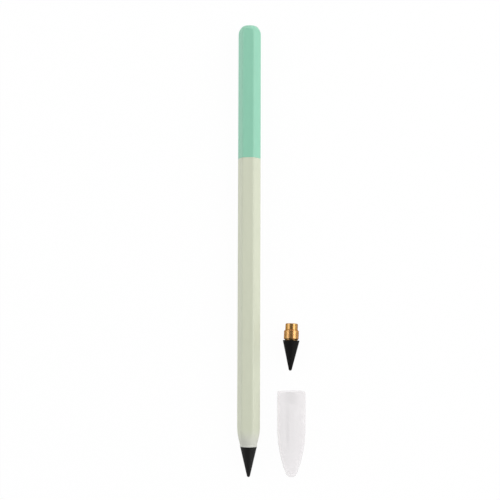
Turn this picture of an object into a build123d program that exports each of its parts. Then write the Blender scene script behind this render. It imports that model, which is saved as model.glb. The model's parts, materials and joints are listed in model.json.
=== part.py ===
import os
from math import asin, atan, atan2, cos, degrees, hypot, pi, radians, sin, sqrt

from build123d import *

# An inkless metal pencil lying on a desk along Y, nib towards -Y. The two-tone hexagonal barrel rests
# on one flat. A spare nib and the translucent cap lie beside it, towards +X. Sizes are in millimetres.

# Whole pencil
pencil_length = 175.0
rear_length = 52.3

# Hexagonal barrel section
across_flats = 7.9
corner_radius = 1.0
seam_edge_break = 0.05

# Turned nose of the front barrel
nose_length = 8.5
nose_lip_length = 0.9
nose_lip_step = 0.1
nose_wall = 0.38
mouth_chamfer = 0.06

# Domed tail of the rear barrel
tail_face_radius = 2.8
tail_end_wall = 8.0

# The nose and tail curves run out this far outside the barrel's corners
turning_runout = 0.05

# Sleeve that joins the two barrels inside
joiner_length = 24.0
joiner_wall = 0.9
joiner_chamfer = 0.3

# Graphite alloy nib
nib_diameter = 6.4
nib_length = 11.56
nib_point_radius = 0.62
nib_edge_break = 0.06
stem_end_gap = 0.2

# Brass ferrule of the nib
thread_length = 4.05
thread_depth = 0.5
thread_relief = 0.35
pilot_length = 2.4
ferrule_wall = 0.9
ferrule_end_wall = 1.0
ferrule_chamfer = 0.2

# Fits
thread_clearance = 0.05
thread_end_gap = 0.3
pilot_clearance = 0.1
bond_gap = 0.02

# Bullet-shaped cap
cap_grip_length = 10.3
cap_nose_length = 18.5
cap_wall = 0.85
cap_clearance = 0.15
cap_point_radius = 2.3
cap_point_wall = 1.0
cap_point_gap = 1.0
cap_core_point_radius = 1.3
cap_lead_depth = 5.0
cap_lead_step = 0.35
cap_nose_chords = 4
cap_core_chords = 2

# Grip ribs inside the cap, which bear on the barrel's flats
rib_count = 3
rib_width = 0.6
rib_clearance = 0.05

# How the loose pieces lie beside the pencil
loose_gap = 6.75
cap_setback = 0.45
spare_gap = 7.75
spare_inset = 0.25
spare_yaw = 1.5

# Barrel, along the pencil
axis_height = across_flats / 2
corner_reach = (across_flats / 2 - corner_radius) / cos(pi / 6) + corner_radius
turning_radius = corner_reach + turning_runout
dome_length = sqrt(turning_radius**2 - tail_face_radius**2)
tip_y = -pencil_length / 2
tail_y = pencil_length / 2
nose_y = tip_y + nib_length
seam_y = tail_y - rear_length
front_length = seam_y - nose_y

# Diameters from the nib inwards, and the bore that takes the ferrule's pilot and the joiner
nib_radius = nib_diameter / 2
nose_lip_radius = nib_radius + nose_lip_step
thread_bore_radius = nose_lip_radius - nose_wall
thread_radius = thread_bore_radius - thread_clearance
pilot_radius = thread_radius - thread_depth
bore_radius = pilot_radius + pilot_clearance
stem_bore_radius = pilot_radius - ferrule_wall
stem_radius = stem_bore_radius - bond_gap
joiner_radius = bore_radius - bond_gap

# Lengths of the ferrule and of the stem that it holds
ferrule_length = thread_length + pilot_length
stem_bore_depth = ferrule_length - ferrule_end_wall
stem_length = stem_bore_depth - stem_end_gap

# Cap, sized to slide over the barrel's corners until the nib nearly reaches its closed point
cap_length = nib_length + nose_length + cap_grip_length + cap_point_gap + cap_point_wall
cap_straight = cap_length - cap_nose_length
cap_bore_radius = corner_reach + cap_clearance
cap_radius = cap_bore_radius + cap_wall
cap_lead_radius = cap_bore_radius + cap_lead_step
cap_lip_chamfer = (cap_radius - cap_lead_radius) / 3
rib_radius = across_flats / 2 + rib_clearance
rib_slot_depth = cap_lead_radius - rib_radius

# The cap lies on its side, with its point a little short of the pencil's
cap_x = corner_reach + loose_gap + cap_radius
cap_mouth_y = tip_y + cap_setback + cap_length
cap_mouth_centre = Vector(cap_x, cap_mouth_y, cap_radius)
cap_direction = Vector(0, -1, 0)

# The spare nib lies on the nib's rim and on the first rim of the ferrule to touch the desk
thread_rim = thread_length - ferrule_chamfer + nib_edge_break
pilot_rim = ferrule_length - ferrule_chamfer + nib_edge_break
spare_tilt = min(
    atan((nib_radius - thread_radius) / thread_rim),
    atan((nib_radius - pilot_radius) / pilot_rim),
)
spare_turn = radians(spare_yaw)
spare_direction = Vector(
    -sin(spare_turn) * cos(spare_tilt), -cos(spare_turn) * cos(spare_tilt), sin(spare_tilt)
)
spare_sideways = Vector(cos(spare_turn), -sin(spare_turn), 0)
spare_seat_centre = Vector(
    cap_x - spare_inset,
    cap_mouth_y + spare_gap - nib_length * spare_direction.Y,
    nib_radius * cos(spare_tilt) - nib_edge_break * sin(spare_tilt),
)

# Planes across the pencil, and planes through the axes for turned outlines (local x runs along the axis)
pencil_axis = Axis((0, 0, axis_height), (0, 1, 0))
nose_section = Plane(origin=(0, nose_y, axis_height), x_dir=(1, 0, 0), z_dir=(0, 1, 0))
seam_section = Plane(origin=(0, seam_y, axis_height), x_dir=(1, 0, 0), z_dir=(0, 1, 0))
nose_mouth = Plane(origin=(0, nose_y, axis_height), x_dir=(1, 0, 0), z_dir=(0, -1, 0))
rear_mouth = Plane(origin=(0, seam_y, axis_height), x_dir=(1, 0, 0), z_dir=(0, -1, 0))
nose_outline = Plane(origin=(0, nose_y, axis_height), x_dir=(0, 1, 0), z_dir=(0, 0, 1))
tail_outline = Plane(origin=(0, tail_y, axis_height), x_dir=(0, -1, 0), z_dir=(0, 0, 1))
nib_seat = Plane(origin=(0, nose_y, axis_height), x_dir=(0, -1, 0), z_dir=(0, 0, 1))
spare_seat = Plane(origin=spare_seat_centre, x_dir=spare_direction, z_dir=spare_sideways)
cap_outline = Plane(origin=cap_mouth_centre, x_dir=cap_direction, z_dir=(1, 0, 0))
cap_axis = Axis(cap_mouth_centre, cap_direction)
rib_start = cap_mouth_centre + cap_direction * cap_lead_depth
rib_section = Plane(origin=rib_start, x_dir=(0, 0, 1), z_dir=cap_direction)


def barrel_section(plane):
    # A hexagon with rounded corners, lying on a flat
    with BuildSketch(plane) as section:
        RegularPolygon(radius=across_flats / 2, side_count=6, major_radius=False)
        fillet(section.vertices(), radius=corner_radius)
    return section.sketch


def bullet_chords(side_radius, length, point_radius, chords):
    # An arc that runs on from the cap's straight side until it meets a small round point, in even chords
    reach = length - point_radius
    arc_radius = (reach**2 + side_radius**2 - point_radius**2) / (2 * (side_radius - point_radius))
    centre_y = side_radius - arc_radius
    chord_angle = atan2(reach, -centre_y) / chords
    angles = [chord_angle * step for step in range(chords + 1)]
    return [(cap_straight + arc_radius * sin(a), centre_y + arc_radius * cos(a)) for a in angles]


def turn_nib_tip(seat):
    # The cone and its stem, with the cone's shoulder at the seat and the point along the seat's x
    point_centre = nib_length - nib_point_radius
    to_centre = hypot(point_centre - nib_edge_break, nib_radius)
    cone_angle = atan2(nib_radius, point_centre - nib_edge_break) - asin(nib_point_radius / to_centre)
    cone_end = (
        point_centre + nib_point_radius * sin(cone_angle),
        nib_point_radius * cos(cone_angle),
    )
    with BuildPart() as tip:
        with BuildSketch(seat):
            with BuildLine():
                Polyline(
                    (nib_length, 0),
                    (-stem_length, 0),
                    (-stem_length, stem_radius),
                    (0, stem_radius),
                    (0, nib_radius - nib_edge_break),
                    (nib_edge_break, nib_radius),
                    cone_end,
                )
                CenterArc((point_centre, 0), nib_point_radius, 0, 90 - degrees(cone_angle))
            make_face()
        revolve(axis=Axis(seat.origin, seat.x_dir))
    return tip


def turn_nib_ferrule(seat):
    # The brass screw that holds the stem: relief, thread at its full diameter, then the plain pilot
    with BuildPart() as ferrule:
        with BuildSketch(seat):
            with BuildLine():
                Polyline(
                    (0, stem_bore_radius),
                    (0, pilot_radius),
                    (-thread_relief, pilot_radius),
                    (-thread_relief, thread_radius - ferrule_chamfer),
                    (-thread_relief - ferrule_chamfer, thread_radius),
                    (-thread_length + ferrule_chamfer, thread_radius),
                    (-thread_length, thread_radius - ferrule_chamfer),
                    (-thread_length, pilot_radius),
                    (-ferrule_length + ferrule_chamfer, pilot_radius),
                    (-ferrule_length, pilot_radius - ferrule_chamfer),
                    (-ferrule_length, 0),
                    (-stem_bore_depth, 0),
                    (-stem_bore_depth, stem_bore_radius),
                    close=True,
                )
            make_face()
        revolve(axis=Axis(seat.origin, seat.x_dir))
    return ferrule


# Front barrel: hexagonal tube whose nose is turned down to a lip and tapped for the nib
with BuildPart() as front_barrel:
    extrude(barrel_section(nose_section), amount=front_length)
    with BuildSketch(nose_outline):
        with BuildLine():
            Polyline((nose_lip_length, nose_lip_radius), (0, nose_lip_radius), (0, 0), (front_length, 0))
            Line((front_length, 0), (front_length, turning_radius))
            Line((front_length, turning_radius), (nose_length, turning_radius))
            TangentArc((nose_length, turning_radius), (nose_lip_length, nose_lip_radius), tangent=(-1, 0))
        make_face()
    revolve(axis=pencil_axis, mode=Mode.INTERSECT)
    with Locations(nose_mouth):
        CounterBoreHole(
            radius=bore_radius,
            counter_bore_radius=thread_bore_radius,
            counter_bore_depth=thread_length + thread_end_gap,
            depth=front_length,
        )
    nose_face = front_barrel.faces().sort_by(Axis.Y)[0]
    chamfer(nose_face.inner_wires().edges(), length=mouth_chamfer)
    seam_face = front_barrel.faces().sort_by(Axis.Y)[-1]
    chamfer(seam_face.outer_wire().edges(), length=seam_edge_break)
front_barrel.part.label = "front_barrel"

# Rear barrel: the same section, drilled for the joiner, with its closed end turned to a dome
with BuildPart() as rear_barrel:
    extrude(barrel_section(seam_section), amount=rear_length)
    with BuildSketch(tail_outline):
        with BuildLine():
            Polyline((0, tail_face_radius), (0, 0), (rear_length, 0), (rear_length, turning_radius))
            Line((rear_length, turning_radius), (dome_length, turning_radius))
            CenterArc((dome_length, 0), turning_radius, 90, degrees(asin(dome_length / turning_radius)))
        make_face()
    revolve(axis=pencil_axis, mode=Mode.INTERSECT)
    with Locations(rear_mouth):
        Hole(radius=bore_radius, depth=rear_length - tail_end_wall)
    seam_face = rear_barrel.faces().sort_by(Axis.Y)[0]
    chamfer(seam_face.outer_wire().edges(), length=seam_edge_break)
rear_barrel.part.label = "rear_barrel"

# Joiner: a sleeve bonded into both bores, half in each barrel
with BuildPart() as barrel_joiner:
    with BuildSketch(seam_section):
        Circle(joiner_radius)
        Circle(joiner_radius - joiner_wall, mode=Mode.SUBTRACT)
    extrude(amount=joiner_length / 2, both=True)
    end_faces = barrel_joiner.faces().filter_by(Axis.Y)
    chamfer([face.outer_wire().edge() for face in end_faces], length=joiner_chamfer)
barrel_joiner.part.label = "barrel_joiner"

# The nib that is screwed into the nose
nib_tip = turn_nib_tip(nib_seat)
nib_tip.part.label = "nib_tip"
nib_ferrule = turn_nib_ferrule(nib_seat)
nib_ferrule.part.label = "nib_ferrule"

# The spare nib, the same piece, lying on the desk
spare_nib_tip = turn_nib_tip(spare_seat)
spare_nib_tip.part.label = "spare_nib_tip"
spare_nib_ferrule = turn_nib_ferrule(spare_seat)
spare_nib_ferrule.part.label = "spare_nib_ferrule"

# The core that shapes the cap's hollow: a wider lead-in, a bore with slots for the ribs, a tapered end
with BuildPart() as cap_core:
    with BuildSketch(cap_outline):
        with BuildLine():
            core_nose_length = cap_nose_length - cap_point_wall
            core_side = bullet_chords(
                cap_bore_radius, core_nose_length, cap_core_point_radius, cap_core_chords
            )
            Polyline(
                (core_side[-1][0], 0),
                (0, 0),
                (0, cap_lead_radius),
                (cap_lead_depth, cap_lead_radius),
                (cap_lead_depth, cap_bore_radius),
                *core_side,
                close=True,
            )
        make_face()
    revolve(axis=cap_axis)
    with BuildSketch(rib_section):
        with PolarLocations(rib_radius + rib_slot_depth / 2, rib_count):
            Rectangle(rib_slot_depth, rib_width)
    extrude(amount=cap_length, mode=Mode.SUBTRACT)

# Cap: the bullet-shaped shell around that core, with its lip broken on both edges
with BuildPart() as cap:
    with BuildSketch(cap_outline):
        with BuildLine():
            cap_side = bullet_chords(cap_radius, cap_nose_length, cap_point_radius, cap_nose_chords)
            Polyline((cap_length, 0), (0, 0), (0, cap_radius), *cap_side)
            point_centre = cap_length - cap_point_radius
            meeting_angle = atan2(cap_side[-1][1], cap_side[-1][0] - point_centre)
            CenterArc((point_centre, 0), cap_point_radius, 0, degrees(meeting_angle))
        make_face()
    revolve(axis=cap_axis)
    add(cap_core.part, mode=Mode.SUBTRACT)
    mouth_face = cap.faces().filter_by(GeomType.PLANE).sort_by(cap_axis)[0]
    chamfer(mouth_face.edges(), length=cap_lip_chamfer)
cap.part.label = "cap"

os.makedirs("parts", exist_ok=True)
pieces = [
    front_barrel,
    rear_barrel,
    barrel_joiner,
    nib_tip,
    nib_ferrule,
    spare_nib_tip,
    spare_nib_ferrule,
    cap,
]
for piece in pieces:
    export_step(piece.part, f"parts/{piece.part.label}.step")
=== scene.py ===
import json
from math import asin, atan2, cos, hypot, pi, radians, sin, sqrt, tan

import bmesh
import bpy
from mathutils import Matrix, Vector


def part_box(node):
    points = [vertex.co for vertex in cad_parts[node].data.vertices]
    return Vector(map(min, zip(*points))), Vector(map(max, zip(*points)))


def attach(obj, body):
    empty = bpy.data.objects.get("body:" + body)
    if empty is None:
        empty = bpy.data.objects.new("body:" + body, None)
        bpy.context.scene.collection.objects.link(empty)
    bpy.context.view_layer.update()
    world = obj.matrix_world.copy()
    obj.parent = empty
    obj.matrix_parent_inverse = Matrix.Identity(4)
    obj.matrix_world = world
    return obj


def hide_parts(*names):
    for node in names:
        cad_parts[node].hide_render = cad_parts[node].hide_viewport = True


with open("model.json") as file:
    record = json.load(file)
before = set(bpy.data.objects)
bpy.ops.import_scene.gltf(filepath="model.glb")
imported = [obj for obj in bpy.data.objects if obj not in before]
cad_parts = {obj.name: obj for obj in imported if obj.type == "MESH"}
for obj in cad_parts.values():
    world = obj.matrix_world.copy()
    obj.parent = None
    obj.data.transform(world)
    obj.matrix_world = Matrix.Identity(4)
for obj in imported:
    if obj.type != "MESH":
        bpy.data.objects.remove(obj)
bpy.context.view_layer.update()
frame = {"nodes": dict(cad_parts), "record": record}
mm = 0.001  # the shapes below are in millimetres, Blender is in metres
print("frame loaded:", len(frame["nodes"]), "nodes")


class Wire:
    # one socket of a shader tree, so that shader maths reads as plain sums
    def __init__(self, tree, socket=None):
        self.tree = tree
        self.socket = socket

    def node(self, kind, settings=None, inputs=None, out=0):
        made = self.tree.nodes.new(kind)
        for name, value in (settings or {}).items():
            if name == "stops":  # a colour ramp's stops, as {place: colour}
                ramp = made.color_ramp.elements
                while len(ramp) < len(value):
                    ramp.new(0.5)
                for stop, (place, tone) in zip(ramp, sorted(value.items())):
                    stop.position = place
                    stop.color = tone
            else:
                setattr(made, name, value)
        for key, value in (inputs or {}).items():
            if isinstance(value, Wire):
                self.tree.links.new(value.socket, made.inputs[key])
            else:
                made.inputs[key].default_value = value
        return Wire(self.tree, made.outputs[out] if made.outputs else None)

    def maths(self, operation, *values):
        return self.node("ShaderNodeMath", {"operation": operation}, dict(enumerate(values)))

    def __add__(self, other):
        return self.maths("ADD", self, other)

    def __radd__(self, other):
        return self.maths("ADD", other, self)

    def __sub__(self, other):
        return self.maths("SUBTRACT", self, other)

    def __rsub__(self, other):
        return self.maths("SUBTRACT", other, self)

    def __mul__(self, other):
        return self.maths("MULTIPLY", self, other)

    def __rmul__(self, other):
        return self.maths("MULTIPLY", other, self)

    def __pow__(self, other):
        return self.maths("POWER", self, other)

    def sine(self):
        return self.maths("SINE", self)

    def size(self):
        return self.maths("ABSOLUTE", self)

    def larger(self, other):
        return self.maths("MAXIMUM", self, other)

    def parts(self):
        split = self.node("ShaderNodeSeparateXYZ", inputs={"Vector": self}).socket.node
        return [Wire(self.tree, socket) for socket in split.outputs]

    def stretched(self, scale):
        return self.node("ShaderNodeVectorMath", {"operation": "MULTIPLY"}, {0: self, 1: scale})

    def fade(self, low, high):  # 0 below low, 1 above high, smooth between
        limits = {"Value": self, "From Min": low, "From Max": high}
        return self.node("ShaderNodeMapRange", {"interpolation_type": "SMOOTHSTEP"}, limits)

    def noise(self, scale, detail=2.0, roughness=0.5):
        settings = {"Vector": self, "Scale": scale, "Detail": detail, "Roughness": roughness}
        return self.node("ShaderNodeTexNoise", {"normalize": True}, settings)

    def spread(self):  # noise keeps near 0.5, so its middle is stretched over 0 to 1
        return self.fade(0.3, 0.7)

    def blend(self, first, second):  # a colour between two, by this value
        colourSockets = {0: self, 6: first, 7: second}  # the Mix node's factor and its two colours
        return self.node("ShaderNodeMix", {"data_type": "RGBA"}, colourSockets, out=2)

    def bump(self, depth):  # this height as a normal, depth in millimetres
        return self.node("ShaderNodeBump", None, {"Height": self, "Strength": 1.0, "Distance": depth * mm})


def newFinish(name, fixed, paint):
    # one Principled surface: fixed numbers set on its sockets, painted ones linked from the wires
    material = bpy.data.materials.new(name)
    material.use_nodes = True
    tree = material.node_tree
    tree.nodes.clear()
    start = Wire(tree)
    place = start.node("ShaderNodeTexCoord", out="Object").stretched((1 / mm, 1 / mm, 1 / mm))
    surface = dict(fixed)
    surface.update(paint(place))
    shader = start.node("ShaderNodeBsdfPrincipled", None, surface)
    start.node("ShaderNodeOutputMaterial", None, {"Surface": shader})
    print("finish made:", name)
    return material


def colour(red, green, blue):
    return (red, green, blue, 1.0)


def fromAxis(across, up):
    return (across * across + up * up) ** 0.5


lacquerLook = {
    "cream": {"tone": colour(0.585, 0.612, 0.482), "gloss": 0.45},
    "mint": {"tone": colour(0.25, 0.557, 0.404), "gloss": 0.65},
    "shift": 0.015,  # how far the tone wanders, as a share of the colour
    "driftScale": 0.55,
    "driftStretch": (1, 0.3, 1),
    "fleckScale": 9.0,
    "fleckShare": 0.3,
    "nose": colour(0.58, 0.585, 0.525),  # painted shade: the turned nose is greyer, standing in for the lesser light on its curve
    "noseFrom": 7.5,
    "noseTo": 1.0,
    "rim": colour(0.55, 0.555, 0.515),  # thin duller edge at the nose's mouth
    "rimFrom": 0.55,
    "rimTo": 0.38,
    "bare": colour(0.80, 0.80, 0.81),  # metal inside the bores
    "bareRadius": 2.95,
    "bareEdge": 0.03,
    "boreMargin": 1.0,  # the closed end is lacquered from this far behind the bore
    "boreMarks": (0.4, 7.0, 0.4),
    "peelScale": 2.2,
    "grainScale": 14.0,
    "grainShare": 0.2,
    "peelDepth": 0.0022,
    "rough": 0.38,
    "fleckRough": 0.1,
    "boreRough": 0.26,
    "markRough": 0.2,
    "ior": 1.5,
}


def lacquer(name, coat, hasRim, boreEnd):
    look = lacquerLook

    def paint(place):
        across, along, up = place.parts()
        bareFrom = look["bareRadius"] - look["bareEdge"]
        bareTo = look["bareRadius"] + look["bareEdge"]
        closedFrom = boreEnd + look["boreMargin"]
        closed = along.fade(closedFrom, closedFrom + look["boreMargin"])
        bare = (1 - fromAxis(across, up).fade(bareFrom, bareTo)) * (1 - closed)
        drift = place.stretched(look["driftStretch"]).noise(look["driftScale"], detail=3.0)
        fleck = place.noise(look["fleckScale"])
        darker = colour(*[c * (1 - look["shift"]) for c in coat["tone"][:3]])
        lighter = colour(*[c * (1 + look["shift"]) for c in coat["tone"][:3]])
        wander = drift * (1 - look["fleckShare"]) + fleck * look["fleckShare"]
        base = wander.spread().blend(darker, lighter)
        if hasRim:
            # painted shade greys the turned nose, then the thin rim at its mouth is blended in
            base = (1 - along.fade(look["noseTo"], look["noseFrom"])).blend(base, look["nose"])
            base = (1 - along.fade(look["rimTo"], look["rimFrom"])).blend(base, look["rim"])
        marks = place.stretched(look["boreMarks"]).noise(1.0)  # tool marks run round the bore
        peel = place.noise(look["peelScale"]) * (1 - look["grainShare"])
        peel = peel + place.noise(look["grainScale"]) * look["grainShare"]
        coatRough = look["rough"] + fleck * look["fleckRough"]
        boreRough = look["boreRough"] + marks * look["markRough"]
        return {
            "Base Color": bare.blend(base, look["bare"]),
            "Metallic": bare,
            "Roughness": coatRough * (1 - bare) + boreRough * bare,
            "Normal": (peel * (1 - bare) + marks * bare).bump(look["peelDepth"]),
        }

    return newFinish(name, {"IOR": look["ior"], "Specular IOR Level": coat["gloss"]}, paint)


graphiteLook = {
    "dull": colour(0.0035, 0.0033, 0.0033),
    "shine": colour(0.014, 0.0135, 0.014),
    "ringPitch": 0.16,  # turning rings round the cone
    "ringShare": 0.5,
    "ringDepth": 0.004,
    "wobble": 3.0,
    "wobbleScale": 0.8,
    "speckScale": 11.0,
    "speckShare": 0.9,
    "speckFrom": 0.35,
    "speckTo": 0.8,
    "point": 9.2,  # the end of a used point is burnished by writing
    "pointRun": 1.6,
    "burnish": 0.2,
    "burnishScale": 3.0,
    "rough": 0.52,
    "speckRough": 0.14,
    "usedGloss": 0.2,
    "freshGloss": 0.08,
    "ior": 1.5,
}


def graphite(name, used):
    look = graphiteLook

    def paint(place):
        along = place.parts()[1]
        wobble = place.noise(look["wobbleScale"]) * look["wobble"]
        rings = (along * (2 * pi / look["ringPitch"]) + wobble).sine()
        speck = place.noise(look["speckScale"], detail=3.0, roughness=0.6)
        worn = along.fade(look["point"], look["point"] + look["pointRun"])
        worn = worn * place.noise(look["burnishScale"]).spread() * used
        shine = (speck.fade(look["speckFrom"], look["speckTo"]) + worn) * 0.5
        return {
            "Base Color": shine.blend(look["dull"], look["shine"]),
            "Roughness": look["rough"] + speck * look["speckRough"] - worn * look["burnish"],
            "Normal": (rings * look["ringShare"] + speck * look["speckShare"]).bump(look["ringDepth"]),
        }

    gloss = look["usedGloss"] if used else look["freshGloss"]
    return newFinish(name, {"IOR": look["ior"], "Specular IOR Level": gloss}, paint)


brassLook = {
    "bright": colour(0.63, 0.38, 0.155),
    "deep": colour(0.46, 0.255, 0.082),
    "edge": colour(0.35, 0.13, 0.06),  # reddish at a glancing angle
    "reliefShade": colour(0.035, 0.022, 0.012),  # painted shade in the relief beside the nib
    "reliefShadeFrom": -0.15,
    "reliefShadeTo": -0.02,
    "toolMarks": (0.5, 16.0, 0.5),
    "markDepth": 0.0016,
    "tarnishScale": 1.3,
    "tarnishShare": 0.6,
    "raisedFrom": 0.02,  # above the neck
    "raisedTo": 0.06,  # below the crests
    "cleanFrom": 0.1,
    "cleanTo": 0.65,
    "rough": 0.2,
    "markRough": 0.1,
    "tarnishRough": 0.06,
    "reliefShadeRough": 0.25,
}


def brass(name):
    look = brassLook

    def paint(place):
        across, along, up = place.parts()
        marks = place.stretched(look["toolMarks"]).noise(1.0, detail=3.0)
        tarnish = place.noise(look["tarnishScale"], detail=3.0)
        raisedFrom = ferrule["neck"] + look["raisedFrom"]
        raised = fromAxis(across, up).fade(raisedFrom, ferrule["crest"] - look["raisedTo"])
        clean = tarnish * look["tarnishShare"] + raised * (1 - look["tarnishShare"])
        clean = clean.fade(look["cleanFrom"], look["cleanTo"])
        # painted shade: the brass is darkened, and roughened, in the relief next to the nib
        reliefShaded = along.fade(look["reliefShadeFrom"], look["reliefShadeTo"])
        rough = look["rough"] + marks * look["markRough"] + tarnish * look["tarnishRough"]
        return {
            "Base Color": reliefShaded.blend(clean.blend(look["deep"], look["bright"]), look["reliefShade"]),
            "Roughness": rough + reliefShaded * look["reliefShadeRough"],
            "Normal": marks.bump(look["markDepth"]),
        }

    return newFinish(name, {"Metallic": 1.0, "Specular Tint": look["edge"]}, paint)


plasticLook = {
    "clear": colour(0.745, 0.695, 0.715),
    "cloud": colour(0.705, 0.655, 0.675),
    "cloudScale": 0.5,
    "cloudStretch": (1, 0.35, 1),
    "outsideAlpha": 0.22,
    "insideAlpha": 0.075,
    "edgeOn": 0.13,  # more to see through where the wall is seen edge-on
    "shade": colour(0.30, 0.27, 0.28),  # painted shade, on the upper side only: beside the rib and in the lead-in
    "shadeFrom": 2.0,
    "shadeTo": 3.0,
    "ribShade": 0.68,
    "ribNear": 0.1,  # away from the rib's middle the shade comes in, is full and goes out
    "ribIn": 0.6,
    "ribFull": 1.05,
    "ribFar": 2.3,
    "ribFrom": 4.5,  # and the same along the cap, from its mouth
    "ribBegun": 6.0,
    "ribFade": 18.5,
    "ribTo": 23.5,
    "lean": 0.7,  # the painted shade on the rib's flank that faces the light is this much fainter
    "leanBlend": 0.2,
    "leadShade": 0.68,
    "leadNear": 0.6,
    "leadFar": 3.8,
    "leadFade": 3.6,
    "leadTo": 5.4,
    "frostScale": 7.0,
    "frostDepth": 0.003,
    "rough": 0.36,
    "frostRough": 0.14,
    "ior": 1.46,
    "gloss": 0.1,
}


def frostedPlastic(name):
    look = plasticLook

    def paint(place):
        across, along, up = place.parts()
        off = across.size()
        ribSide = across.fade(-look["leanBlend"], look["leanBlend"])
        # painted shade beside the uppermost rib, fainter on its lit flank, and in the lead-in at the mouth
        flanks = off.fade(look["ribNear"], look["ribIn"]) * (1 - off.fade(look["ribFull"], look["ribFar"]))
        flanks = flanks * (1 - look["lean"] + ribSide * look["lean"]) * look["ribShade"]
        ribbed = along.fade(look["ribFrom"], look["ribBegun"])
        ribbed = ribbed * (1 - along.fade(look["ribFade"], look["ribTo"]))
        lead = 1 - off.fade(look["leadNear"], look["leadFar"])
        lead = lead * (1 - along.fade(look["leadFade"], look["leadTo"])) * look["leadShade"]
        shade = (flanks * ribbed + lead) * up.fade(look["shadeFrom"], look["shadeTo"])
        cloud = place.stretched(look["cloudStretch"]).noise(look["cloudScale"])
        frost = place.noise(look["frostScale"], detail=3.0, roughness=0.6)
        outside = place.node("ShaderNodeAttribute", {"attribute_name": "outside"}, out="Fac")
        glancing = place.node("ShaderNodeLayerWeight", None, {"Blend": 0.5}, out="Facing")
        outer = look["outsideAlpha"] + glancing * glancing * look["edgeOn"]
        return {
            "Base Color": shade.blend(cloud.spread().blend(look["clear"], look["cloud"]), look["shade"]),
            "Roughness": look["rough"] + frost * look["frostRough"],
            "Alpha": outer * outside + look["insideAlpha"] * (1 - outside),
            "Normal": frost.bump(look["frostDepth"]),
        }

    return newFinish(name, {"IOR": look["ior"], "Specular IOR Level": look["gloss"]}, paint)


joinerLook = {
    "dark": colour(0.74, 0.74, 0.75),
    "light": colour(0.84, 0.84, 0.84),
    "smearScale": 0.7,
    "brushMarks": (0.6, 9.0, 0.6),
    "brushDepth": 0.003,
    "rough": 0.28,
    "brushRough": 0.16,
}


def brushedMetal(name):
    look = joinerLook

    def paint(place):
        brushed = place.stretched(look["brushMarks"]).noise(1.0, detail=3.0)
        return {
            "Base Color": place.noise(look["smearScale"]).blend(look["dark"], look["light"]),
            "Roughness": look["rough"] + brushed * look["brushRough"],
            "Normal": brushed.bump(look["brushDepth"]),
        }

    return newFinish(name, {"Metallic": 1.0}, paint)


sharpAngle = radians(32)  # edges that turn more than this stay crisp
roundMiddle = 0.3  # where the middle ring of a small rounding lies, as a share of its size


def skin(name, rings, angles, closed=False):
    # rings are (place along local Y, radius or one radius for each angle); radius 0 is a point on the axis
    points = []
    rows = []
    for along, radius in rings:
        if isinstance(radius, (int, float)) and radius == 0:
            rows.append([len(points)])
            points.append((0, along * mm, 0))
            continue
        radii = [radius] * len(angles) if isinstance(radius, (int, float)) else radius
        rows.append(list(range(len(points), len(points) + len(angles))))
        points += [(r * cos(a) * mm, along * mm, r * sin(a) * mm) for r, a in zip(radii, angles)]
    faces = []
    count = len(angles)
    pairs = list(zip(rows, rows[1:]))
    if closed:
        pairs.append((rows[-1], rows[0]))
    for first, second in pairs:
        for i in range(count):
            j = (i + 1) % count
            if len(first) == 1:
                faces.append((first[0], second[j], second[i]))
            elif len(second) == 1:
                faces.append((first[i], first[j], second[0]))
            else:
                faces.append((first[i], first[j], second[j], second[i]))
    mesh = bpy.data.meshes.new(name)
    mesh.from_pydata(points, [], faces)
    work = bmesh.new()
    work.from_mesh(mesh)
    bmesh.ops.recalc_face_normals(work, faces=work.faces)
    work.to_mesh(mesh)
    work.free()
    mesh.shade_smooth()
    mesh.set_sharp_from_angle(angle=sharpAngle)
    return mesh


def evenAngles(count):
    return [2 * pi * i / count for i in range(count)]


def runs(start, end, steps):
    return [start + (end - start) * i / steps for i in range(steps + 1)]


def arc(middle, radius, fromAngle, toAngle, steps):
    spots = runs(fromAngle, toAngle, steps)
    return [(middle[0] + radius * cos(a), middle[1] + radius * sin(a)) for a in spots]


def eased(share):  # held between 0 and 1, with soft ends
    share = min(max(share, 0), 1)
    return share * share * (3 - 2 * share)


def facing(seat, direction):
    # local Y along the direction, local Z as near to upright as it can be
    ahead = Vector(direction).normalized()
    side = ahead.cross(Vector((0, 0, 1))).normalized()
    turned = Matrix((side, ahead, side.cross(ahead))).transposed().to_4x4()
    return Matrix.Translation(seat) @ turned


def standFor(name, mesh, matrix, material, node, body):
    piece = bpy.data.objects.new(name, mesh)
    bpy.context.scene.collection.objects.link(piece)
    piece.matrix_world = matrix
    mesh.materials.append(material)
    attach(piece, body)
    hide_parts(node)
    print("piece made:", name, len(mesh.polygons), "faces")


frontLow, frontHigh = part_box("front_barrel")
rearLow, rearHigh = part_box("rear_barrel")
halfFlats = (frontHigh.z - frontLow.z) / 2 / mm
cornerReach = (frontHigh.x - frontLow.x) / 2 / mm
axisHeight = (frontHigh.z + frontLow.z) / 2
frontLength = (frontHigh.y - frontLow.y) / mm
rearLength = (rearHigh.y - rearLow.y) / mm

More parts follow.
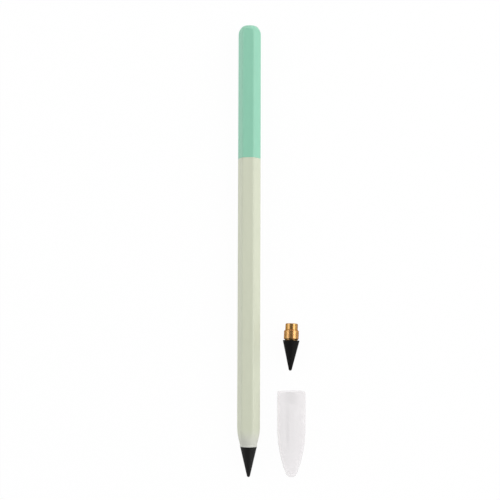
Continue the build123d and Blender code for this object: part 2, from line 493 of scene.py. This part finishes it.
barrel = {
    "soften": 0.16,  # how softly the turned ends run into the flats
    "runout": 0.05,
    "seamBreak": 0.05,
    "noseLength": 8.5,
    "noseRunOn": 1.4,  # the turned curve is followed this far on to the flats
    "lipLength": 0.9,
    "lipRadius": 3.3,
    "lipBreak": 0.06,
    "lineWidth": 0.06,  # fine line where the lip meets the curve
    "lineDepth": 0.03,
    "lineEnd": 0.07,
    "mouthChamfer": 0.06,
    "threadBore": 2.92,
    "threadBoreDepth": 4.35,
    "bore": 2.47,
    "tailFace": 2.8,
    "tailWall": 8.0,
    "tailRunOn": 1.6,
    "tailFlats": 0.9,  # nearer the end than this the dome lies inside the flats
    "tailRound": 0.82,
    "tailEdge": 0.06,
    "faceRise": 0.012,  # small break round the end face
    "faceInset": 0.07,
    "plainGap": 4.0,  # plain stretches keep this far from the turned ends
    "seamGap": 1.0,  # and this far from the seam
    "flatSteps": 14,  # mesh steps across each flat, round each corner and along
    "cornerSteps": 8,
    "noseSteps": 64,
    "frontSteps": 24,
    "rearSteps": 12,
    "tailSteps": 34,
    "tailRoundSteps": 9,
}
cornerRadius = (halfFlats - cornerReach * cos(pi / 6)) / (1 - cos(pi / 6))
cornerMiddle = (halfFlats - cornerRadius) / cos(pi / 6)
cornerSpan = atan2(cornerRadius * sin(pi / 6), cornerMiddle + cornerRadius * cos(pi / 6))
turnRadius = cornerReach + barrel["runout"]


def hexAngles():
    around = []
    for side in range(6):
        corner = side * pi / 3
        around += [corner + a for a in runs(-cornerSpan, cornerSpan, barrel["cornerSteps"])[:-1]]
        around += [corner + a for a in runs(cornerSpan, pi / 3 - cornerSpan, barrel["flatSteps"])[:-1]]
    return around


def hexRadius(angle):
    off = (angle + pi / 6) % (pi / 3) - pi / 6  # away from the nearest corner
    if abs(off) < cornerSpan:
        return cornerMiddle * cos(off) + sqrt(cornerRadius**2 - (cornerMiddle * sin(off)) ** 2)
    return halfFlats / cos(pi / 6 - abs(off))


barrelAngles = hexAngles()
hexOutline = [hexRadius(a) for a in barrelAngles]
seamOutline = [r - barrel["seamBreak"] for r in hexOutline]
noseRise = turnRadius - barrel["lipRadius"]
noseRun = barrel["noseLength"] - barrel["lipLength"]
noseArc = (noseRun**2 + noseRise**2) / (2 * noseRise)
domeLength = sqrt(turnRadius**2 - barrel["tailFace"] ** 2)


def turnedRadius(off, bend):
    # an arc that ends level at turnRadius, and past its end the opening parabola of the same bend
    if off > 0:
        return turnRadius + off * off / (2 * bend)
    return turnRadius - bend + sqrt(bend**2 - off * off)


def noseRadius(along):
    return turnedRadius(along - barrel["noseLength"], noseArc)


def domeRadius(fromTail):
    return turnedRadius(fromTail - domeLength, turnRadius)


def softMin(first, second, soften):
    near = max(soften - abs(first - second), 0) / soften
    return min(first, second) - near * near * soften / 4


def barrelRing(turned):
    return [softMin(r, turned, barrel["soften"]) for r in hexOutline]


def frontBarrelMesh():
    b = barrel
    rings = [
        (0, b["threadBore"] + b["mouthChamfer"]),
        (0, b["lipRadius"] - b["lipBreak"]),
        (b["lipBreak"] * roundMiddle, b["lipRadius"] - b["lipBreak"] * roundMiddle),
        (b["lipBreak"], b["lipRadius"]),
        (b["lipLength"] - b["lineWidth"], b["lipRadius"]),
        (b["lipLength"], b["lipRadius"] - b["lineDepth"]),
    ]
    for along in runs(b["lipLength"] + b["lineEnd"], b["noseLength"] + b["noseRunOn"], b["noseSteps"]):
        rings.append((along, barrelRing(noseRadius(along))))
    for along in runs(b["noseLength"] + b["plainGap"], frontLength - b["seamGap"], b["frontSteps"]):
        rings.append((along, hexOutline))
    rings += [(frontLength - b["seamBreak"], hexOutline), (frontLength, seamOutline)]
    rings += [(frontLength, b["bore"]), (b["threadBoreDepth"], b["bore"])]
    rings += [(b["threadBoreDepth"], b["threadBore"]), (b["mouthChamfer"], b["threadBore"])]
    return skin("frontBarrel", rings, barrelAngles, closed=True)


def rearBarrelMesh():
    b = barrel
    boreEnd = rearLength - b["tailWall"]
    rings = [(boreEnd, 0), (boreEnd, b["bore"]), (0, b["bore"])]
    rings += [(0, seamOutline), (b["seamBreak"], hexOutline)]
    for along in runs(b["seamGap"], rearLength - domeLength - b["plainGap"], b["rearSteps"]):
        rings.append((along, hexOutline))
    for fromTail in runs(domeLength + b["tailRunOn"], b["tailFlats"], b["tailSteps"]):
        rings.append((rearLength - fromTail, barrelRing(domeRadius(fromTail))))
    for fromTail in runs(b["tailRound"], b["tailEdge"], b["tailRoundSteps"]):
        rings.append((rearLength - fromTail, domeRadius(fromTail)))
    rings.append((rearLength - b["faceRise"], b["tailFace"]))
    rings.append((rearLength, b["tailFace"] - b["faceInset"]))
    rings += [(rearLength, b["tailFace"] / 2), (rearLength, 0)]
    return skin("rearBarrel", rings, barrelAngles)


noseSeat = Vector((0, frontLow.y, axisHeight))
seamSeat = Vector((0, rearLow.y, axisHeight))
creamLacquer = lacquer("creamLacquer", lacquerLook["cream"], True, frontLength)
mintLacquer = lacquer("mintLacquer", lacquerLook["mint"], False, rearLength - barrel["tailWall"])
standFor(
    "frontBarrel",
    frontBarrelMesh(),
    Matrix.Translation(noseSeat),
    creamLacquer,
    "front_barrel",
    "pencil",
)
standFor(
    "rearBarrel",
    rearBarrelMesh(),
    Matrix.Translation(seamSeat),
    mintLacquer,
    "rear_barrel",
    "pencil",
)

joiner = bpy.data.objects["barrel_joiner"]  # hidden in the bores: the CAD sleeve stays
joiner.data.materials.clear()
joiner.data.materials.append(brushedMetal("joinerAluminium"))

nib = {
    "radius": 3.2,
    "length": 11.56,
    "pointRadius": 0.62,
    "pointStop": 0.12,  # the point's last ring stops this angle short of the axis
    "edgeBreak": 0.06,
    "stemRadius": 1.45,
    "stemLength": 5.25,
    "around": 128,
    "coneSteps": 40,
    "pointSteps": 10,
}


def nibTipMesh():
    # local Y runs from the seat to the point
    n = nib
    pointMiddle = n["length"] - n["pointRadius"]
    coneRun = pointMiddle - n["edgeBreak"]
    slope = atan2(n["radius"], coneRun) - asin(n["pointRadius"] / hypot(coneRun, n["radius"]))
    coneEnd = (pointMiddle + n["pointRadius"] * sin(slope), n["pointRadius"] * cos(slope))
    rings = [
        (-n["stemLength"], 0),
        (-n["stemLength"], n["stemRadius"]),
        (0, n["stemRadius"]),
        (0, n["radius"] - n["edgeBreak"]),
        (n["edgeBreak"] * roundMiddle, n["radius"] - n["edgeBreak"] * roundMiddle),
    ]
    for share in runs(0, 1, n["coneSteps"]):
        along = n["edgeBreak"] + (coneEnd[0] - n["edgeBreak"]) * share
        rings.append((along, n["radius"] + (coneEnd[1] - n["radius"]) * share))
    rings += arc((pointMiddle, 0), n["pointRadius"], pi / 2 - slope, n["pointStop"], n["pointSteps"])[1:]
    rings.append((n["length"], 0))
    return skin("nibTip", rings, evenAngles(n["around"]))


ferrule = {
    "threadLength": 4.05,
    "relief": 0.35,
    "threadFrom": 0.2,  # the turns run on close to the nib
    "length": 6.45,
    "crest": 2.87,
    "root": 2.74,
    "neck": 2.37,  # plain pilot and relief
    "pitch": 0.5,
    "crestShare": 0.5,  # of each turn, the part that is crest and the part that is flank
    "flankShare": 0.36,
    "endSlope": 1.1,
    "chamfer": 0.2,
    "pilotGap": 0.15,
    "stemBore": 1.47,
    "stemBoreDepth": 5.45,
    "around": 120,
    "stepsPerTurn": 16,
    "pilotSteps": 8,
}


def threadRadius(behind, angle):
    f = ferrule
    turn = (behind / f["pitch"] - angle / (2 * pi)) % 1.0
    fromCrest = abs(turn - 0.5) * 2
    drop = eased((fromCrest - f["crestShare"]) / f["flankShare"])
    thread = f["crest"] - (f["crest"] - f["root"]) * drop
    fromEnds = min(behind - f["threadFrom"], f["threadLength"] - behind)
    return min(thread, f["neck"] + fromEnds * f["endSlope"])


def ferruleMesh():
    # local Y runs towards the nib's point, so the screw lies at minus Y
    f = ferrule
    angles = evenAngles(f["around"])
    rings = [(-f["stemBoreDepth"], 0), (-f["stemBoreDepth"], f["stemBore"]), (0, f["stemBore"])]
    rings += [(0, f["neck"]), (-f["threadFrom"], f["neck"])]
    steps = round((f["threadLength"] - f["threadFrom"]) / f["pitch"] * f["stepsPerTurn"])
    for behind in runs(f["threadFrom"], f["threadLength"], steps)[1:-1]:
        rings.append((-behind, [threadRadius(behind, a) for a in angles]))
    rings.append((-f["threadLength"], f["neck"]))
    for behind in runs(f["threadLength"] + f["pilotGap"], f["length"] - f["chamfer"], f["pilotSteps"]):
        rings.append((-behind, f["neck"]))
    endRadius = f["neck"] - f["chamfer"]
    rings += [(-f["length"], endRadius), (-f["length"], endRadius / 2), (-f["length"], 0)]
    return skin("nibFerrule", rings, angles)


mounts = {mount["name"]: mount for mount in frame["record"]["mounts"]}
spareMount = mounts["spare_nib_thread"]
spareAhead = -Vector(spareMount["axis"])
threadMiddle = (ferrule["threadLength"] + ferrule["relief"]) / 2 * mm
spareSeat = Vector(spareMount["pos_m"]) + spareAhead * threadMiddle
turnedBrass = brass("turnedBrass")
nibPlaces = (
    ("nib", "nib", facing(noseSeat, (0, -1, 0)), graphite("usedGraphite", 1)),
    ("spareNib", "spare_nib", facing(spareSeat, spareAhead), graphite("freshGraphite", 0)),
)
for name, body, place, alloy in nibPlaces:
    standFor(name + "Tip", nibTipMesh(), place, alloy, body + "_tip", body)
    standFor(name + "Ferrule", ferruleMesh(), place, turnedBrass, body + "_ferrule", body)

cap = {
    "noseLength": 18.5,
    "pointRadius": 2.3,
    "pointWall": 1.0,
    "corePointRadius": 1.3,
    "pointStop": 0.1,
    "wall": 0.85,
    "leadDepth": 5.0,
    "leadStep": 0.35,
    "leadEdge": 0.05,
    "lipRun": 0.8,  # rounding of the mouth, along and across
    "lipDrop": 0.3,
    "lipInside": 1 / 3,  # rounding inside the mouth, as a share of the lip's wall
    "ribTip": 4.0,
    "ribCount": 3,
    "ribHalfWidth": 0.3,
    "ribRoot": 2.2,  # the rib's flank runs out from its crown to its root, in half widths
    "ribCrown": 0.5,
    "ribRamp": 0.4,  # the ribs rise over this length behind the lead-in
    "ribMargin": 1.1,
    "ringGap": 0.3,  # spaces between the rings of neighbouring stretches
    "coreFrom": 0.2,
    "coreGap": 0.4,
    "sideGap": 1.0,
    "ribSteps": 10,
    "betweenSteps": 36,
    "bulletSteps": 30,
    "pointSteps": 10,
    "sideSteps": 10,
    "lipSteps": 8,
    "lipInsideSteps": 5,
    "leadSteps": 4,
    "coreSteps": 16,
}
capLow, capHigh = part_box("cap")
capRadius = (capHigh.z - capLow.z) / 2 / mm
capLength = (capHigh.y - capLow.y) / mm
capStraight = capLength - cap["noseLength"]
capBore = capRadius - cap["wall"]
ribSector = 2 * pi / cap["ribCount"]


def bulletEnd(sideRadius, length, pointRadius):
    # an arc that runs on from the straight side, and a small round point
    reach = length - pointRadius
    bend = (reach**2 + sideRadius**2 - pointRadius**2) / (2 * (sideRadius - pointRadius))
    meeting = atan2(bend - sideRadius, reach)
    side = arc((capStraight, sideRadius - bend), bend, pi / 2, meeting, cap["bulletSteps"])
    point = arc((capStraight + reach, 0), pointRadius, meeting, cap["pointStop"], cap["pointSteps"])
    return side + point[1:] + [(capStraight + length, 0)]


def capAngles():
    around = []
    ribSpan = cap["ribMargin"] * cap["ribRoot"] * cap["ribHalfWidth"] / cap["ribTip"]
    for rib in range(cap["ribCount"]):
        middle = pi / 2 + rib * ribSector
        around += [middle + a for a in runs(-ribSpan, ribSpan, cap["ribSteps"] * 2)[:-1]]
        around += [middle + a for a in runs(ribSpan, ribSector - ribSpan, cap["betweenSteps"])[:-1]]
    return around


def coreRing(along, radius, angles):
    # the hollow's radius at each angle, with the ribs standing in from it
    begun = min(max((along - cap["leadDepth"]) / cap["ribRamp"], 0), 1)
    ring = []
    for angle in angles:
        off = abs((angle - pi / 2 + ribSector / 2) % ribSector - ribSector / 2) * cap["ribTip"]
        share = (cap["ribRoot"] - off / cap["ribHalfWidth"]) / (cap["ribRoot"] - cap["ribCrown"])
        ring.append(radius - max(radius - cap["ribTip"], 0) * eased(share) * begun)
    return ring


def capMesh():
    c = cap
    angles = capAngles()
    lead = capBore + c["leadStep"]
    lip = (capRadius - lead) * c["lipInside"]
    outer = bulletEnd(capRadius, c["noseLength"], c["pointRadius"])
    core = bulletEnd(capBore, c["noseLength"] - c["pointWall"], c["corePointRadius"])
    rings = list(reversed(outer))
    for along in runs(capStraight - c["sideGap"], c["lipRun"] + c["ringGap"], c["sideSteps"]):
        rings.append((along, capRadius))
    for along, rise in arc((1, 0), 1, pi / 2, pi, c["lipSteps"]):
        rings.append((along * c["lipRun"], capRadius - (1 - rise) * c["lipDrop"]))
    outsidePoints = 1 + (len(rings) - 1) * len(angles)
    rings += arc((lip, lead + lip), lip, pi, 3 * pi / 2, c["lipInsideSteps"])
    for along in runs(lip + c["ringGap"], c["leadDepth"] - c["ringGap"], c["leadSteps"]):
        rings.append((along, lead))
    rings.append((c["leadDepth"] - c["leadEdge"], lead))
    coreSide = [c["leadDepth"] + c["leadEdge"]]
    coreSide += runs(c["leadDepth"] + c["coreFrom"], capStraight - c["coreGap"], c["coreSteps"])
    for along, radius in [(along, capBore) for along in coreSide] + core[:-1]:
        rings.append((along, coreRing(along, radius, angles)))
    rings.append(core[-1])
    mesh = skin("cap", rings, angles)
    outside = mesh.attributes.new("outside", "FLOAT", "POINT")  # 1 on the outside, 0 in the hollow
    for point in outside.data[:outsidePoints]:
        point.value = 1.0
    return mesh


capMouth = Vector(((capLow.x + capHigh.x) / 2, capHigh.y, (capLow.z + capHigh.z) / 2))
standFor(
    "bulletCap",
    capMesh(),
    facing(capMouth, (0, -1, 0)),
    frostedPlastic("frostedPlastic"),
    "cap",
    "cap",
)

white = colour(1, 1, 1)
floorLook = {
    "size": 3.0,  # metres
    "gap": 0.02,  # millimetres under the cap, the lowest piece
    "board": colour(0.9, 0.9, 0.9),
    "glow": 0.97,  # share of plain white that the camera sees, the rest takes the shadow
}


def seenRay(start):
    # 1 for camera, mirror and see-through rays, 0 for light that falls on the object
    path = start.node("ShaderNodeLightPath").socket.node
    camera, glossy, through = [
        Wire(start.tree, path.outputs[name])
        for name in ("Is Camera Ray", "Is Glossy Ray", "Is Transmission Ray")
    ]
    return camera.larger(glossy.larger(through))


def makeFloor():
    look = floorLook
    half = look["size"] / 2
    mesh = bpy.data.meshes.new("deskTop")
    corners = [(-half, -half, 0), (half, -half, 0), (half, half, 0), (-half, half, 0)]
    mesh.from_pydata(corners, [], [(0, 1, 2, 3)])
    floor = bpy.data.objects.new("deskTop", mesh)
    floor.location.z = capLow.z - look["gap"] * mm
    bpy.context.scene.collection.objects.link(floor)
    material = bpy.data.materials.new("whiteDesk")
    material.use_nodes = True
    material.node_tree.nodes.clear()
    start = Wire(material.node_tree)
    board = start.node("ShaderNodeBsdfDiffuse", None, {"Color": look["board"]})
    glow = start.node("ShaderNodeEmission", None, {"Color": white, "Strength": 1.0})
    share = seenRay(start) * look["glow"]
    mixed = start.node("ShaderNodeMixShader", None, {0: share, 1: board, 2: glow})
    start.node("ShaderNodeOutputMaterial", None, {"Surface": mixed})
    mesh.materials.append(material)


skyLook = {0.0: 0.42, 0.45: 0.61, 0.75: 0.48, 0.92: 0.23, 1.0: 0.18}  # grey by height, level to overhead


def makeSky():
    world = bpy.data.worlds.new("softRoom")
    bpy.context.scene.world = world
    world.use_nodes = True
    world.node_tree.nodes.clear()
    start = Wire(world.node_tree)
    up = start.node("ShaderNodeTexCoord", out="Generated").parts()[2]
    stops = {height: colour(grey, grey, grey) for height, grey in skyLook.items()}
    room = start.node("ShaderNodeValToRGB", {"stops": stops}, {"Fac": up})
    lit = start.node("ShaderNodeBackground", None, {"Color": room})
    seen = start.node("ShaderNodeBackground", None, {"Color": white})
    path = start.node("ShaderNodeLightPath", out="Is Camera Ray")
    mixed = start.node("ShaderNodeMixShader", None, {0: path, 1: lit, 2: seen})
    start.node("ShaderNodeOutputWorld", None, {"Surface": mixed})


softboxes = {  # turn is from the pencil's right towards its tail, in degrees; away and size in metres
    "right": {"turn": 4, "height": 34, "away": 0.65, "size": (0.42, 1.3), "power": 4.3},
    "left": {"turn": 171, "height": 37, "away": 0.65, "size": (0.45, 1.0), "power": 2.05},
    "tail": {"turn": 90, "height": 14, "away": 0.7, "size": (0.3, 0.5), "power": 0.8},
}


def makeSoftbox(name, box):
    light = bpy.data.lights.new(name, "AREA")
    light.shape = "RECTANGLE"
    light.size, light.size_y = box["size"]
    light.energy = box["power"]
    lamp = bpy.data.objects.new(name, light)
    bpy.context.scene.collection.objects.link(lamp)
    lift = radians(box["height"])
    turn = radians(box["turn"])
    aim = Vector((cos(lift) * cos(turn), cos(lift) * sin(turn), sin(lift)))
    level = Vector((-sin(turn), cos(turn), 0))
    turned = Matrix((aim.cross(level), level, aim)).transposed().to_4x4()
    lamp.matrix_world = Matrix.Translation(aim * box["away"]) @ turned


makeFloor()
makeSky()
for name, box in softboxes.items():
    makeSoftbox(name + "Softbox", box)
print("stage made")

view = {
    "target": (0.36, -0.511, 4.0),  # millimetres
    "distance": 400.0,
    "clipStart": 10.0,
    "rightward": 6.6,  # degrees off straight down
    "nibward": 4.03,
    "roll": -0.17,
    "lens": 74.218,
    "sensor": 36.0,
}


def makeCamera():
    back = Vector((tan(radians(view["rightward"])), -tan(radians(view["nibward"])), 1)).normalized()
    roll = radians(view["roll"])
    side = Vector((sin(roll), cos(roll), 0)).cross(back).normalized()
    turned = Matrix((side, back.cross(side), back)).transposed().to_4x4()
    data = bpy.data.cameras.new("overhead")
    data.lens = view["lens"]
    data.sensor_width = view["sensor"]
    data.clip_start = view["clipStart"] * mm
    camera = bpy.data.objects.new("overhead", data)
    bpy.context.scene.collection.objects.link(camera)
    stand = Vector(view["target"]) + back * view["distance"]
    camera.matrix_world = Matrix.Translation(stand * mm) @ turned
    bpy.context.scene.camera = camera


makeCamera()
bpy.context.scene.view_settings.view_transform = "Standard"
print("camera set")
